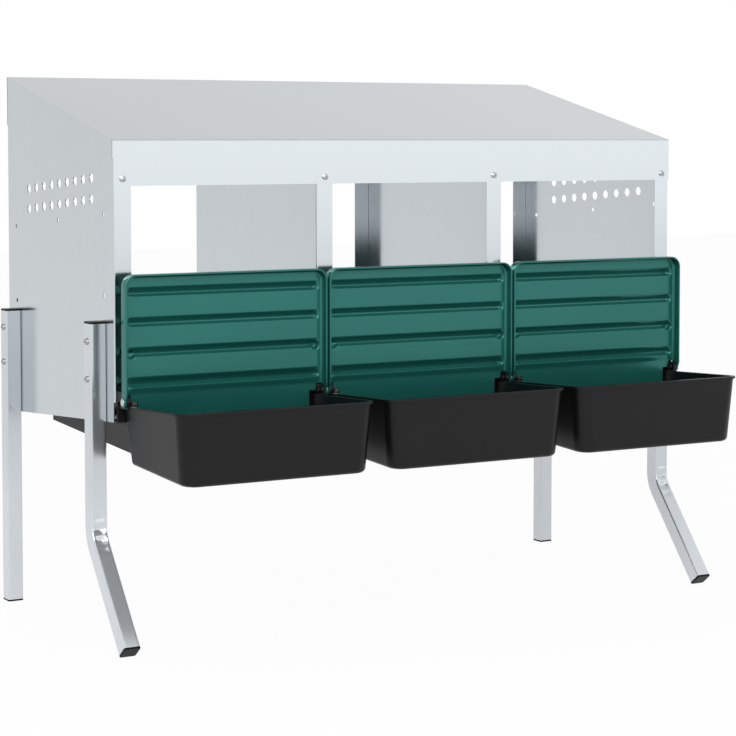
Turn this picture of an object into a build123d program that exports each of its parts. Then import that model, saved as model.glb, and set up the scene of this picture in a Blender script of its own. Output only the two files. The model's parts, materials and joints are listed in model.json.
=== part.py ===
"""Three-place roll-away nesting box: folded sheet body on tube legs, egg trays that slide out, hinged lids.

Frame: X to the right seen from the front, Y to the rear, Z up. The origin is on the floor, below the middle
of the object.
"""
import os
from math import atan, cos, degrees, radians, sin, tan

from build123d import *

# Sheet metal body
nest_pitch = 290.0
body_depth = 366.0
front_height = 638.0
rear_height = 725.0
sheet = 1.0
fold_radius = 1.5
flange_width = 24.0
fascia_drop = 57.0
skirt_drop = 66.0

# Lower edge of the walls, which falls to the rear and carries the trays
base_front = 284.0
base_fall = 3.65
ledge_width = 15.0
ledge_end_gap = 5.0
flange_foot_rise = 25.0
notch_depth = 4.0
notch_height = 22.0
runner_height = 12.0

# Air holes and fixing holes in the side panels
vent_diameter = 12.5
vent_columns = 9
vent_rows = 2
vent_pitch = 27.0
vent_row_gap = 27.0
vent_inset = 70.0
vent_height = 590.0
row_fall = 4.75
fixing_diameter = 6.0
fixing_inset = 32.0
fixing_upper = 545.0
fixing_lower = 442.0

# Rear tie rail
rail_thickness = 1.5
rail_height = 30.0
rail_rise = 6.0
rail_end_gap = 3.0

# Legs
tube = 22.0
tube_wall = 1.2
tube_corner = 2.5
leg_inset = 24.5
front_leg_top = 409.5
rear_leg_top = 406.0
knee_height = 135.5
knee_radius = 45.0
splay = 39.0
plug_head = 2.5
plug_stem = 12.0
plug_gap = 0.15
plug_edge = 0.8

# Fasteners
bolt_diameter = 5.0
bolt_head = 8.5
bolt_head_height = 3.3
bolt_spare = 2.0
bolt_top_drop = 25.0
bolt_gap = 48.0
nut_width = 8.0
nut_height = 4.0
screw_diameter = 4.0
screw_head = 8.0
screw_head_height = 2.8
screw_length = 9.0
screw_rise = 9.0
hole_clearance = 0.25

# Egg trays
tray_wall = 3.0
tray_gap = 0.3
rib_gap = 1.5
rib_end_gap = 30.0
pan_gap = 3.0
floor_front = 245.0
floor_fall = 3.05
floor_step = 6.0
floor_step_reach = 253.0
tray_rear_gap = 2.0
tray_end_wall = 15.0
trough_drop = 14.0
trough_reach = 178.0
trough_rear_gap = 3.0
trough_step = 8.0
trough_draft = 7.0
trough_front_draft = 4.5
trough_corner = 20.0
trough_rear_corner = 6.0
trough_round = 8.0
rim_front = 312.5
rim_rise = 2.5
lip_width = 2.5
lip_thickness = 3.0

# Lids and their hinges
lid_wall = 2.5
lid_gap = 1.6
lip_gap_side = 3.6
lip_gap_front = 1.2
lid_skirt = 14.6
lid_corner = 15.0
lid_seat_gap = 0.8
plate_setback = 1.8
hinge_setback = 22.0
pin_diameter = 6.0
pin_clearance = 0.05
pin_head = 9.0
pin_head_height = 1.2
pin_head_gap = 0.1
pin_head_edge = 0.5
hinge_lobe = 14.0
lid_tail = 20.0
lid_tail_gap = 1.0
ear_gap = 0.6
ear_thickness = 5.0
ear_boss = 15.0
ear_front = 6.0
ear_rear_gap = 0.6
ear_neck = 3.0
ear_stop = 11.5
ear_top_gap = 1.5
shoulder_rise = 2.0
stop_gap = 0.3
pin_cap_diameter = 9.0
pin_cap_height = 3.2
pin_cap_floor = 1.0
pin_cap_edge = 1.2
pin_cap_gap = 0.2
lid_rib_count = 4
lid_rib_pitch = 38.0
lid_rib_first = 21.5
lid_rib_height = 11.0
lid_rib_depth = 4.5
lid_rib_margin = 5.0
lid_rib_step = 6.5
lid_rib_flat = 0.5
pocket_diameter = 12.0
pocket_depth = 2.0
pocket_drop = 3.0

# Places worked out from the sizes above
half_width = 1.5 * nest_pitch
rear_reach = body_depth + rail_thickness + screw_head_height
front_y = (trough_reach - rear_reach) / 2
rear_y = front_y + body_depth
roof_fall = degrees(atan((rear_height - front_height) / body_depth))
fascia_bottom = front_height - fascia_drop
skirt_bottom = rear_height - skirt_drop
flange_foot = base_front + flange_foot_rise
ledge_front = front_y + ledge_end_gap
ledge_rear = rear_y - ledge_end_gap
ledge_thickness = sheet / cos(radians(base_fall))
flange_middle = (flange_width + sheet) / 2
fascia_screw_z = fascia_bottom + screw_rise
skirt_screw_z = skirt_bottom + screw_rise
rail_low = base_front - body_depth * tan(radians(base_fall)) + rail_rise
rail_middle = rail_low + rail_height / 2
leg_front_y = front_y + leg_inset + tube / 2
leg_rear_y = rear_y - leg_inset - tube / 2
leg_x = half_width + tube / 2
lid_half = nest_pitch / 2 - lid_gap
lip_half = lid_half - lid_wall - lip_gap_side
trough_half = lip_half - lip_width
ear_half = lid_half - lid_wall - ear_gap
ear_inner = ear_half - ear_thickness
pan_half = nest_pitch / 2 - sheet - ledge_width - pan_gap
rib_half = nest_pitch / 2 - sheet - rib_gap
rib_width = rib_half - pan_half + tray_wall
tray_rear = rear_y - sheet - tray_rear_gap
trough_rear = front_y - trough_rear_gap
trough_front = front_y - trough_reach + lip_width
hinge_y = front_y - hinge_setback
hinge_z = rim_front + lid_seat_gap - plate_setback
lid_back = hinge_y + plate_setback + lid_wall
lid_foot = hinge_z + ear_boss / 2 + ear_top_gap
lid_top = hinge_z + trough_reach - hinge_setback + lip_gap_front + lid_wall
pin_outer = lid_half + pin_head_gap
pin_inner = ear_inner - pin_cap_height + pin_cap_floor
foot_half = ear_inner - pin_cap_height - pin_cap_gap
tail_half = pan_half - tray_wall - lid_tail_gap
place_names = ("left", "middle", "right")
place_centres = (-nest_pitch, 0.0, nest_pitch)


def base_z(y):
    """Height of the walls' lower edge."""
    return base_front - (y - front_y) * tan(radians(base_fall))


def floor_z(y):
    """Height of the nest floor's underside, which falls to the front."""
    return floor_front + (y - front_y) * tan(radians(floor_fall))


def rim_z(y):
    """Height of the trough's rim, which rises to the front."""
    return rim_front - (y - front_y + trough_reach) * tan(radians(rim_rise))


rib_low = ledge_thickness + tray_gap
rib_high = rib_low + tray_wall
ear_low = rim_z(hinge_y) - lip_thickness
step_y = front_y + floor_step_reach
wall_rise = base_front + rib_low - floor_front - floor_step
wall_meet = wall_rise / (tan(radians(floor_fall)) + tan(radians(base_fall)))
wall_end = min(front_y + wall_meet, tray_rear)

roof_plane = Plane((0, front_y, front_height), (1, 0, 0),
                   (0, -sin(radians(roof_fall)), cos(radians(roof_fall))))
base_plane = Plane((0, front_y, base_front), (1, 0, 0), (0, sin(radians(base_fall)), cos(radians(base_fall))))


def front_plane(y):
    """Upright plane across the object that faces the front; its axes are X and Z."""
    return Plane((0, y, 0), (1, 0, 0), (0, -1, 0))


def finish(part, label):
    """Names a piece and writes it."""
    part.label = label
    export_step(part, f"parts/{label}.step")


os.makedirs("parts", exist_ok=True)


# Folded walls: side panels and dividers
def base_strip(x, y_front, y_rear, low, high):
    """Strip in the plane at x that follows the walls' lower edge."""
    with BuildSketch(Plane.YZ.offset(x)) as strip:
        with BuildLine():
            Polyline(
                (y_front, base_z(y_front) + low),
                (y_rear, base_z(y_rear) + low),
                (y_rear, base_z(y_rear) + high),
                (y_front, base_z(y_front) + high),
                close=True,
            )
        make_face()
    return strip.sketch


def folded_wall(x, turn):
    """Wall with its web's outer face at x; front and rear flanges and ledge turn to +X or -X."""
    web_x = x + turn * sheet / 2
    tip_x = x + turn * flange_width
    screw_x = x + turn * flange_middle
    relief = 2 * (fold_radius + sheet)
    with BuildPart() as wall:
        with BuildSketch():
            with BuildLine():
                FilletPolyline(
                    (tip_x, front_y + sheet / 2),
                    (web_x, front_y + sheet / 2),
                    (web_x, rear_y - sheet / 2),
                    (tip_x, rear_y - sheet / 2),
                    radius=fold_radius,
                )
            trace(line_width=sheet)
        extrude(amount=2 * rear_height)
        split(bisect_by=roof_plane, keep=Keep.BOTTOM)
        split(bisect_by=base_plane, keep=Keep.TOP)
        # Corner reliefs under the roof's folds, and the front flange's open foot for the tray
        with Locations((x, front_y, front_height), (x, rear_y, rear_height)):
            Box(4 * flange_width, relief, relief, mode=Mode.SUBTRACT)
        with Locations((x, front_y, front_height)):
            Box(2 * notch_depth, 2 * notch_depth, 2 * notch_height, mode=Mode.SUBTRACT)
        with Locations((x, front_y, flange_foot)):
            Box(4 * flange_width, relief, 2 * flange_foot, align=(Align.CENTER, Align.CENTER, Align.MAX),
                mode=Mode.SUBTRACT)
        ledge_outline = base_strip(x, ledge_front, ledge_rear, 0, ledge_thickness)
        extrude(ledge_outline, amount=turn * (sheet + ledge_width))
        with BuildSketch(front_plane(front_y)):
            with Locations((screw_x, fascia_screw_z)):
                Circle(screw_diameter / 2)
        extrude(amount=-2 * sheet, mode=Mode.SUBTRACT)
        with BuildSketch(front_plane(rear_y)):
            with Locations((screw_x, skirt_screw_z), (screw_x, rail_middle)):
                Circle(screw_diameter / 2)
        extrude(amount=2 * sheet, mode=Mode.SUBTRACT)
    return wall


def row_points(first_y, step_y, count, first_z):
    """Points in Y and Z of a row of holes that falls to the rear."""
    return [(first_y + i * step_y, first_z - i * step_y * tan(radians(row_fall))) for i in range(count)]


def bolt_row(y, top):
    """Points in Y and Z of the two bolts below a leg's top."""
    return [(y, top - bolt_top_drop), (y, top - bolt_top_drop - bolt_gap)]


vent_points = []
for row in range(vent_rows):
    row_height = vent_height - row * vent_row_gap
    vent_points += row_points(front_y + vent_inset, vent_pitch, vent_columns, row_height)
fixing_span = body_depth - 2 * fixing_inset
fixing_points = row_points(front_y + fixing_inset, fixing_span / 2, 3, fixing_upper)
fixing_points += row_points(front_y + fixing_inset, fixing_span, 2, fixing_lower)
bolt_points = bolt_row(leg_front_y, front_leg_top) + bolt_row(leg_rear_y, rear_leg_top)

plain_side = folded_wall(-half_width, 1)
with BuildPart() as left_side_panel:
    add(plain_side.part)
    with BuildSketch(Plane.YZ.offset(-half_width)):
        with Locations(*vent_points):
            Circle(vent_diameter / 2)
        with Locations(*fixing_points):
            Circle(fixing_diameter / 2)
        with Locations(*bolt_points):
            Circle(bolt_diameter / 2 + hole_clearance)
    extrude(amount=2 * sheet, mode=Mode.SUBTRACT)
finish(left_side_panel.part, "left_side_panel")

with BuildPart() as right_side_panel:
    mirror(left_side_panel.part, about=Plane.YZ)
finish(right_side_panel.part, "right_side_panel")

left_divider = folded_wall(-(nest_pitch + sheet) / 2, 1)
finish(left_divider.part, "left_divider")

right_divider = folded_wall((nest_pitch + sheet) / 2, -1)
finish(right_divider.part, "right_divider")

# Runners: angle strips welded to the plain side of each divider
with BuildPart() as left_runner:
    runner_x = -(nest_pitch + sheet) / 2
    extrude(base_strip(runner_x, ledge_front, ledge_rear, 0, ledge_thickness), amount=-(sheet + ledge_width))
    extrude(base_strip(runner_x, ledge_front, ledge_rear, 0, runner_height), amount=-sheet)
finish(left_runner.part, "left_divider_runner")

with BuildPart() as right_runner:
    mirror(left_runner.part, about=Plane.YZ)
finish(right_runner.part, "right_divider_runner")

# Roof with fascia and rear skirt, folded from one sheet
roof_lift = sheet / 2 / cos(radians(roof_fall))
roof_edge = sheet / 2 * tan(radians(roof_fall))
wall_screw_x = [-half_width + flange_middle, -(nest_pitch + sheet) / 2 + flange_middle]
wall_screw_x += [-x for x in wall_screw_x]
with BuildPart() as roof:
    with BuildSketch(Plane.YZ.offset(-half_width)):
        with BuildLine():
            FilletPolyline(
                (front_y - sheet / 2, fascia_bottom),
                (front_y - sheet / 2, front_height + roof_lift - roof_edge),
                (rear_y + sheet / 2, rear_height + roof_lift + roof_edge),
                (rear_y + sheet / 2, skirt_bottom),
                radius=fold_radius,
            )
        trace(line_width=sheet)
    extrude(amount=2 * half_width)
    with BuildSketch(front_plane(front_y)):
        with Locations(*[(x, fascia_screw_z) for x in wall_screw_x]):
            Circle(screw_diameter / 2 + hole_clearance)
    extrude(amount=2 * sheet, mode=Mode.SUBTRACT)
    with BuildSketch(front_plane(rear_y)):
        with Locations(*[(x, skirt_screw_z) for x in wall_screw_x]):
            Circle(screw_diameter / 2 + hole_clearance)
    extrude(amount=-2 * sheet, mode=Mode.SUBTRACT)
finish(roof.part, "roof")

# Tie rail across the rear flanges
with BuildPart() as tie_rail:
    with BuildSketch(front_plane(rear_y)):
        with Locations((0, rail_middle)):
            Rectangle(2 * (half_width - rail_end_gap), rail_height)
        with Locations(*[(x, rail_middle) for x in wall_screw_x]):
            Circle(screw_diameter / 2 + hole_clearance, mode=Mode.SUBTRACT)
    extrude(amount=-rail_thickness)
finish(tie_rail.part, "rear_tie_rail")


# Fasteners
def pan_head(shank, head, height, length):
    """Screw along Z with its head above the XY plane."""
    with BuildPart() as screw:
        Cylinder(head / 2, height, align=(Align.CENTER, Align.CENTER, Align.MIN))
        fillet(screw.edges().group_by(Axis.Z)[-1], height / 2)
        Cylinder(shank / 2, length, align=(Align.CENTER, Align.CENTER, Align.MAX))
    return screw


def screw_group(screw, places):
    """Separate solids, one copy of the screw on each plane; the plane's Z points out of the head."""
    with BuildPart() as group:
        for place in places:
            add(screw.part.moved(place.location))
    return group


sheet_screw = pan_head(screw_diameter, screw_head, screw_head_height, screw_length)
fascia_places = [Plane((x, front_y - sheet, fascia_screw_z), (1, 0, 0), (0, -1, 0)) for x in wall_screw_x]
finish(screw_group(sheet_screw, fascia_places).part, "fascia_screws")
skirt_places = [Plane((x, rear_y + sheet, skirt_screw_z), (1, 0, 0), (0, 1, 0)) for x in wall_screw_x]
finish(screw_group(sheet_screw, skirt_places).part, "rear_skirt_screws")
rail_places = [Plane((x, rear_y + rail_thickness, rail_middle), (1, 0, 0), (0, 1, 0)) for x in wall_screw_x]
finish(screw_group(sheet_screw, rail_places).part, "tie_rail_screws")

bolt_length = tube + sheet + nut_height + bolt_spare
leg_bolt = pan_head(bolt_diameter, bolt_head, bolt_head_height, bolt_length)
bolt_places = []
nut_places = []
for side in (-1, 1):
    for y, z in bolt_points:
        bolt_places.append(Plane((side * (half_width + tube), y, z), (0, 1, 0), (side, 0, 0)))
        nut_places.append(Plane((side * (half_width - sheet), y, z), (0, 1, 0), (-side, 0, 0)))
finish(screw_group(leg_bolt, bolt_places).part, "leg_bolts")

with BuildPart() as nut:
    with BuildSketch():
        RegularPolygon(nut_width / 2, 6, major_radius=False)
        Circle(bolt_diameter / 2, mode=Mode.SUBTRACT)
    extrude(amount=nut_height)
finish(screw_group(nut, nut_places).part, "leg_nuts")


# Legs, with their top caps and foot plugs
def tube_section():
    """Square tube's cross-section, on the active sketch."""
    RectangleRounded(tube, tube, tube_corner)
    bore = tube - 2 * tube_wall
    RectangleRounded(bore, bore, max(tube_corner - tube_wall, tube_wall / 4), mode=Mode.SUBTRACT)


def bolt_holes(x, y, top):
    """Outlines in the plane at x of a leg's two bolt holes."""
    with BuildSketch(Plane.YZ.offset(x)) as holes:
        with Locations(*bolt_row(y, top)):
            Circle(bolt_diameter / 2 + hole_clearance)
    return holes.sketch


def tube_plug(place):
    """Plug whose head seats on a tube end; the plane's Z points out of the tube."""
    stem = tube - 2 * (tube_wall + plug_gap)
    with BuildPart() as plug:
        with BuildSketch(place):
            RectangleRounded(tube, tube, tube_corner)
        extrude(amount=plug_head)
        outer = plug.faces().sort_by(Axis(place.origin, place.z_dir))[-1]
        fillet(outer.edges(), plug_edge)
        with BuildSketch(place):
            RectangleRounded(stem, stem, max(tube_corner - tube_wall, tube_wall / 4))
        extrude(amount=-plug_stem)
    return plug


splay_y = sin(radians(splay))
splay_z = cos(radians(splay))
foot_z = tube / 2 * splay_y
foot_y = leg_front_y - (knee_height - foot_z) * tan(radians(splay))
tube_end = (foot_y + plug_head * splay_y, foot_z + plug_head * splay_z)

for side_name, side in (("left", -1), ("right", 1)):
    x = side * leg_x
    top_place = Plane((x, leg_rear_y, rear_leg_top - plug_head), (1, 0, 0), (0, 0, 1))
    foot_place = Plane((x, leg_rear_y, plug_head), (1, 0, 0), (0, 0, -1))
    with BuildPart() as rear_leg:
        with BuildSketch(foot_place):
            tube_section()
        extrude(amount=-(rear_leg_top - 2 * plug_head))
        extrude(bolt_holes(x, leg_rear_y, rear_leg_top), amount=tube, both=True, mode=Mode.SUBTRACT)
    finish(rear_leg.part, f"rear_{side_name}_leg")
    finish(tube_plug(top_place).part, f"rear_{side_name}_leg_cap")
    finish(tube_plug(foot_place).part, f"rear_{side_name}_foot_plug")

    top_place = Plane((x, leg_front_y, front_leg_top - plug_head), (1, 0, 0), (0, 0, 1))
    foot_place = Plane((x, tube_end[0], tube_end[1]), (1, 0, 0), (0, -splay_y, -splay_z))
    with BuildPart() as front_leg:
        with BuildLine(Plane.YZ.offset(x)):
            FilletPolyline(
                (leg_front_y, front_leg_top - plug_head),
                (leg_front_y, knee_height),
                tube_end,
                radius=knee_radius,
            )
        with BuildSketch(top_place):
            tube_section()
        sweep()
        extrude(bolt_holes(x, leg_front_y, front_leg_top), amount=tube, both=True, mode=Mode.SUBTRACT)
    finish(front_leg.part, f"front_{side_name}_leg")
    finish(tube_plug(top_place).part, f"front_{side_name}_leg_cap")
    finish(tube_plug(foot_place).part, f"front_{side_name}_foot_plug")


# Egg trays
def trough_outline(plane, half, y_rear, y_front, front_corner, rear_corner):
    """Trough outline on an inclined plane; the front corners are rounder than the rear ones."""
    with BuildSketch(plane) as outline:
        Rectangle(2 * half, (y_rear - y_front) / plane.y_dir.Y)
        fillet(outline.vertices().group_by(Axis.Y)[0], front_corner)
        fillet(outline.vertices().group_by(Axis.Y)[-1], rear_corner)
    return outline.sketch


def trough_body(inset, lift):
    """Trough as a solid, drawn in by inset from the outside and raised at its rim by lift."""
    low_rear = trough_rear - trough_step - inset
    low_front = trough_front + trough_front_draft + inset
    low_y = (low_rear + low_front) / 2
    low_plane = Plane((0, low_y, floor_z(low_y) - trough_drop), (1, 0, 0),
                      (0, -sin(radians(floor_fall)), cos(radians(floor_fall)))).offset(inset)
    top_rear = trough_rear - inset
    top_front = trough_front + inset
    top_y = (top_rear + top_front) / 2
    top_plane = Plane((0, top_y, rim_z(top_y)), (1, 0, 0),
                      (0, sin(radians(rim_rise)), cos(radians(rim_rise)))).offset(lift)
    corner = trough_corner - inset
    rear_corner = trough_rear_corner - inset / 2
    low_half = trough_half - trough_draft - inset
    top_half = trough_half - inset
    with BuildPart() as body:
        loft([
            trough_outline(low_plane, low_half, low_rear, low_front, corner, rear_corner),
            trough_outline(top_plane, top_half, top_rear, top_front, corner, rear_corner),
        ])
        fillet(body.faces().sort_by(Axis.Z)[0].edges(), min(trough_round, rear_corner) - inset / 2)
    return body


def floor_strip(y_front, y_rear, low, high):
    """Strip in the middle plane that follows the nest floor."""
    with BuildSketch(Plane.YZ) as strip:
        with BuildLine():
            Polyline(
                (y_front, floor_z(y_front) + low),
                (y_rear, floor_z(y_rear) + low),
                (y_rear, floor_z(y_rear) + high),
                (y_front, floor_z(y_front) + high),
                close=True,
            )
        make_face()
    return strip.sketch


outer_trough = trough_body(0, 0)
inner_trough = trough_body(tray_wall, tray_wall)
pan_front = trough_rear - trough_step
lip_y = (trough_rear + front_y - trough_reach) / 2
lip_plane = Plane((0, lip_y, rim_z(lip_y)), (1, 0, 0), (0, sin(radians(rim_rise)), cos(radians(rim_rise))))
lip_outline = trough_outline(lip_plane, lip_half, trough_rear, front_y - trough_reach,
                             trough_corner + lip_width, trough_rear_corner)

# Left side of the tray: pan wall, slide rib, shoulder in front of the wall, and hinge ear
with BuildPart() as tray_side:
    with BuildSketch(Plane.YZ.offset(-pan_half)):
        with BuildLine():
            Polyline(
                (pan_front, floor_z(pan_front)),
                (step_y, floor_z(step_y)),
                (step_y, floor_z(step_y) + floor_step),
                (wall_end, floor_z(wall_end) + floor_step),
                (wall_end, floor_z(wall_end) + floor_step + tray_wall),
                (pan_front, base_z(pan_front) + rib_high),
                close=True,
            )
        make_face()
    extrude(amount=tray_wall)
    rib_outline = base_strip(-rib_half, ledge_front, wall_end - rib_end_gap, rib_low, rib_high)
    extrude(rib_outline, amount=rib_width)
    with BuildSketch(front_plane(front_y - ear_rear_gap)):
        with Locations((-rib_half, base_front)):
            Rectangle(rib_width, flange_foot_rise + shoulder_rise, align=(Align.MIN, Align.MIN))
    extrude(amount=tray_wall)
    with BuildSketch(Plane.YZ.offset(-ear_half)):
        with Locations((hinge_y, hinge_z)):
            Circle(ear_boss / 2)
        with BuildLine():
            Polyline(
                (hinge_y - ear_front, ear_low),
                (front_y - ear_rear_gap, ear_low),
                (front_y - ear_rear_gap, hinge_z + ear_stop),
                (lid_back + stop_gap, hinge_z + ear_stop),
                (lid_back + stop_gap, hinge_z - ear_neck),
                (hinge_y - ear_front, hinge_z - ear_neck),
                close=True,
            )
        make_face()
    extrude(amount=ear_half - ear_inner)

# Nest floor, step and egg trough in one moulding, with its two sides and its lip
with BuildPart() as egg_tray:
    add(outer_trough.part)
    extrude(lip_outline, amount=-lip_thickness)
    extrude(floor_strip(pan_front, step_y, 0, tray_wall), amount=pan_half, both=True)
    step_rear = step_y - tray_wall
    end_top = floor_step + tray_wall + tray_end_wall
    extrude(floor_strip(step_rear, step_y, 0, floor_step + tray_wall), amount=pan_half, both=True)
    extrude(floor_strip(step_rear, tray_rear, floor_step, floor_step + tray_wall), amount=pan_half, both=True)
    extrude(floor_strip(tray_rear - tray_wall, tray_rear, floor_step, end_top), amount=pan_half, both=True)
    # Hollow of the trough, and the open way from the nest floor into it
    add(inner_trough.part, mode=Mode.SUBTRACT)
    way = floor_strip(pan_front - tray_wall, trough_rear + tray_wall, tray_wall, rim_front - floor_front)
    extrude(way, amount=pan_half - tray_wall, both=True, mode=Mode.SUBTRACT)
    add(tray_side.part)
    mirror(tray_side.part, about=Plane.YZ)
    with BuildSketch(Plane.YZ):
        with Locations((hinge_y, hinge_z)):
            Circle(pin_diameter / 2)
    extrude(amount=lid_half, both=True, mode=Mode.SUBTRACT)

# Left hinge pin, with its head outside the lid's skirt, through the ear into a push-on cap
with BuildPart() as left_pin:
    with BuildSketch(Plane.YZ.offset(-pin_inner)):
        with Locations((hinge_y, hinge_z)):
            Circle(pin_diameter / 2)
    extrude(amount=pin_inner - pin_outer)
    with BuildSketch(Plane.YZ.offset(-pin_outer)):
        with Locations((hinge_y, hinge_z)):
            Circle(pin_head / 2)
    extrude(amount=-pin_head_height)
    fillet(left_pin.faces().sort_by(Axis.X)[0].edges(), pin_head_edge)

with BuildPart() as left_cap:
    with BuildSketch(Plane.YZ.offset(-ear_inner)):
        with Locations((hinge_y, hinge_z)):
            Circle(pin_cap_diameter / 2)
    extrude(amount=pin_cap_height)
    fillet(left_cap.faces().sort_by(Axis.X)[-1].edges(), pin_cap_edge)
    with BuildSketch(Plane.YZ.offset(-ear_inner)):
        with Locations((hinge_y, hinge_z)):
            Circle(pin_diameter / 2)
    extrude(amount=pin_cap_height - pin_cap_floor, mode=Mode.SUBTRACT)

with BuildPart() as lid_pins:
    add(left_pin.part)
    mirror(left_pin.part, about=Plane.YZ)

with BuildPart() as lid_pin_caps:
    add(left_cap.part)
    mirror(left_cap.part, about=Plane.YZ)

# Ribbed lid, upright, with a skirt on three sides that reaches down round the pins
back_plane = front_plane(lid_back)
face_plane = front_plane(lid_back - lid_wall)
groove_half = lid_half - lid_wall - lid_rib_margin
rib_heights = [lid_top - lid_rib_first - i * lid_rib_pitch for i in range(lid_rib_count)]
pocket_x = groove_half - pocket_diameter / 2
pocket_z = rib_heights[lid_rib_count // 2] - pocket_drop
pocket_points = [(-pocket_x, pocket_z), (pocket_x, pocket_z)]


def rib_profile(y, z, spread):
    """Rib outline in Y and Z, with its foot on the plane at y: a long slope above, a short one below."""
    top = z + lid_rib_height / 2 + spread
    with BuildSketch(Plane.YZ) as profile:
        with BuildLine():
            Polyline(
                (y, top),
                (y + lid_rib_depth, top - lid_rib_step),
                (y + lid_rib_depth, top - lid_rib_step - lid_rib_flat - spread),
                (y, z - lid_rib_height / 2 - spread),
                close=True,
            )
        make_face()
    return profile.sketch


with BuildPart() as egg_lid:
    with BuildSketch(back_plane) as shell:
        with Locations((0, (lid_foot + lid_top) / 2)):
            Rectangle(2 * lid_half, lid_top - lid_foot)
        fillet(shell.vertices().group_by(Axis.Y)[-1], lid_corner)
    extrude(amount=lid_skirt)
    with BuildSketch(face_plane) as hollow:
        with Locations((0, lid_top - lid_wall)):
            Rectangle(2 * (lid_half - lid_wall), 2 * (lid_top - lid_foot), align=(Align.CENTER, Align.MAX))
        fillet(hollow.vertices().group_by(Axis.Y)[-1], lid_corner - lid_wall)
    extrude(amount=lid_skirt, mode=Mode.SUBTRACT)
    # Foot between the ears, its tail in the trough's mouth, and the skirt's hinge lobes
    with BuildSketch(back_plane):
        with Locations((0, lid_foot)):
            Rectangle(2 * foot_half, lid_foot - hinge_z, align=(Align.CENTER, Align.MAX))
            Rectangle(2 * tail_half, lid_foot - hinge_z + lid_tail, align=(Align.CENTER, Align.MAX))
    extrude(amount=lid_wall)
    for side in (-1, 1):
        with BuildSketch(Plane.YZ.offset(side * (lid_half - lid_wall))):
            with BuildLine():
                Polyline(
                    (lid_back, lid_foot),
                    (lid_back - lid_skirt, lid_foot),
                    (hinge_y - hinge_lobe / 2, hinge_z),
                    (lid_back, hinge_z),
                    close=True,
                )
            make_face()
            with Locations((hinge_y, hinge_z)):
                Circle(hinge_lobe / 2)
                Circle(pin_diameter / 2 + pin_clearance, mode=Mode.SUBTRACT)
        extrude(amount=side * lid_wall)
    # Ribs: raised on the back, grooved on the face, with two deeper end pockets
    for height in rib_heights:
        extrude(rib_profile(lid_back, height, lid_wall), amount=groove_half + lid_wall, both=True)
    with BuildSketch(back_plane):
        with Locations(*pocket_points):
            Circle(pocket_diameter / 2 + lid_wall)
    extrude(amount=-(lid_rib_depth + pocket_depth))
    for height in rib_heights:
        groove = rib_profile(lid_back - lid_wall, height, 0)
        extrude(groove, amount=groove_half, both=True, mode=Mode.SUBTRACT)
    with BuildSketch(face_plane):
        with Locations(*pocket_points):
            Circle(pocket_diameter / 2)
    extrude(amount=-(lid_rib_depth + pocket_depth), mode=Mode.SUBTRACT)

# The same tray set in each place
tray_set = (
    ("egg_tray", egg_tray),
    ("lid_pins", lid_pins),
    ("lid_pin_caps", lid_pin_caps),
    ("egg_lid", egg_lid),
)
for place_name, place_centre in zip(place_names, place_centres):
    for piece_name, piece in tray_set:
        finish(piece.part.moved(Location((place_centre, 0, 0))), f"{place_name}_{piece_name}")
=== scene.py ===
"""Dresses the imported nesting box: finishes, mouldings, bent legs, fasteners and a pale studio."""
import json
import math

import bmesh
import bpy
from bpy.props import FloatProperty, FloatVectorProperty, IntProperty, PointerProperty
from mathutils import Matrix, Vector

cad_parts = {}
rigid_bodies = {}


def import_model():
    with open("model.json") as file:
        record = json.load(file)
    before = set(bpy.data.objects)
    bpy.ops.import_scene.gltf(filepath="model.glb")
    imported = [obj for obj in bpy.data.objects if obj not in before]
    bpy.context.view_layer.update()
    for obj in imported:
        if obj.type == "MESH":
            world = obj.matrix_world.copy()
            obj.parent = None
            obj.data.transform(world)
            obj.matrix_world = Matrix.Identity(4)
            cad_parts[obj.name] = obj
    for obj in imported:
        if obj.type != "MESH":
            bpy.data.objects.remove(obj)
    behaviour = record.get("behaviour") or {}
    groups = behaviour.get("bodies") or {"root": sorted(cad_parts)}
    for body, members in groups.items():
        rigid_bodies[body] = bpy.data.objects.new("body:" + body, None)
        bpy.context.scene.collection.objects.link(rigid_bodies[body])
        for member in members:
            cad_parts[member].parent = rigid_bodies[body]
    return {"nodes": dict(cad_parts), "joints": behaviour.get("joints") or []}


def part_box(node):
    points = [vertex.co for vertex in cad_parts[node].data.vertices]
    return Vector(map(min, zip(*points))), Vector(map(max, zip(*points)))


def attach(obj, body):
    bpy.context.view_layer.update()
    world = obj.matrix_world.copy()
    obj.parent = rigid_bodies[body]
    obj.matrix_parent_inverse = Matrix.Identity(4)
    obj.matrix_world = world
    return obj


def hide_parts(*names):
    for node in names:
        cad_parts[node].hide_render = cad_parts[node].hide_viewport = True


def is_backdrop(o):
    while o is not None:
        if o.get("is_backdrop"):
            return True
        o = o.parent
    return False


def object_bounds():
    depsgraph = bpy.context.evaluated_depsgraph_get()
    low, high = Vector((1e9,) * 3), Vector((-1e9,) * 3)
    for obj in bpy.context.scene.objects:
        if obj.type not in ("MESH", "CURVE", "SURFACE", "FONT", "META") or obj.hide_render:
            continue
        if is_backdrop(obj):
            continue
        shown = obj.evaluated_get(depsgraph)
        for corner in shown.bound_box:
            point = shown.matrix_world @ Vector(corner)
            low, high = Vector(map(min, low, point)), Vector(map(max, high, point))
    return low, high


bl_info = {
    "name": "Nesting box dressing",
    "version": (1, 0, 0),
    "blender": (4, 5, 0),
    "location": "3D View > Sidebar > Nesting box",
    "description": "Finishes the sheet metal, tube, mouldings and fasteners "
                   "of a roll-away nesting box",
    "category": "Object",
}

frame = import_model()
CAD_LOW, CAD_HIGH = (Vector(corner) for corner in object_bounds())

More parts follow.
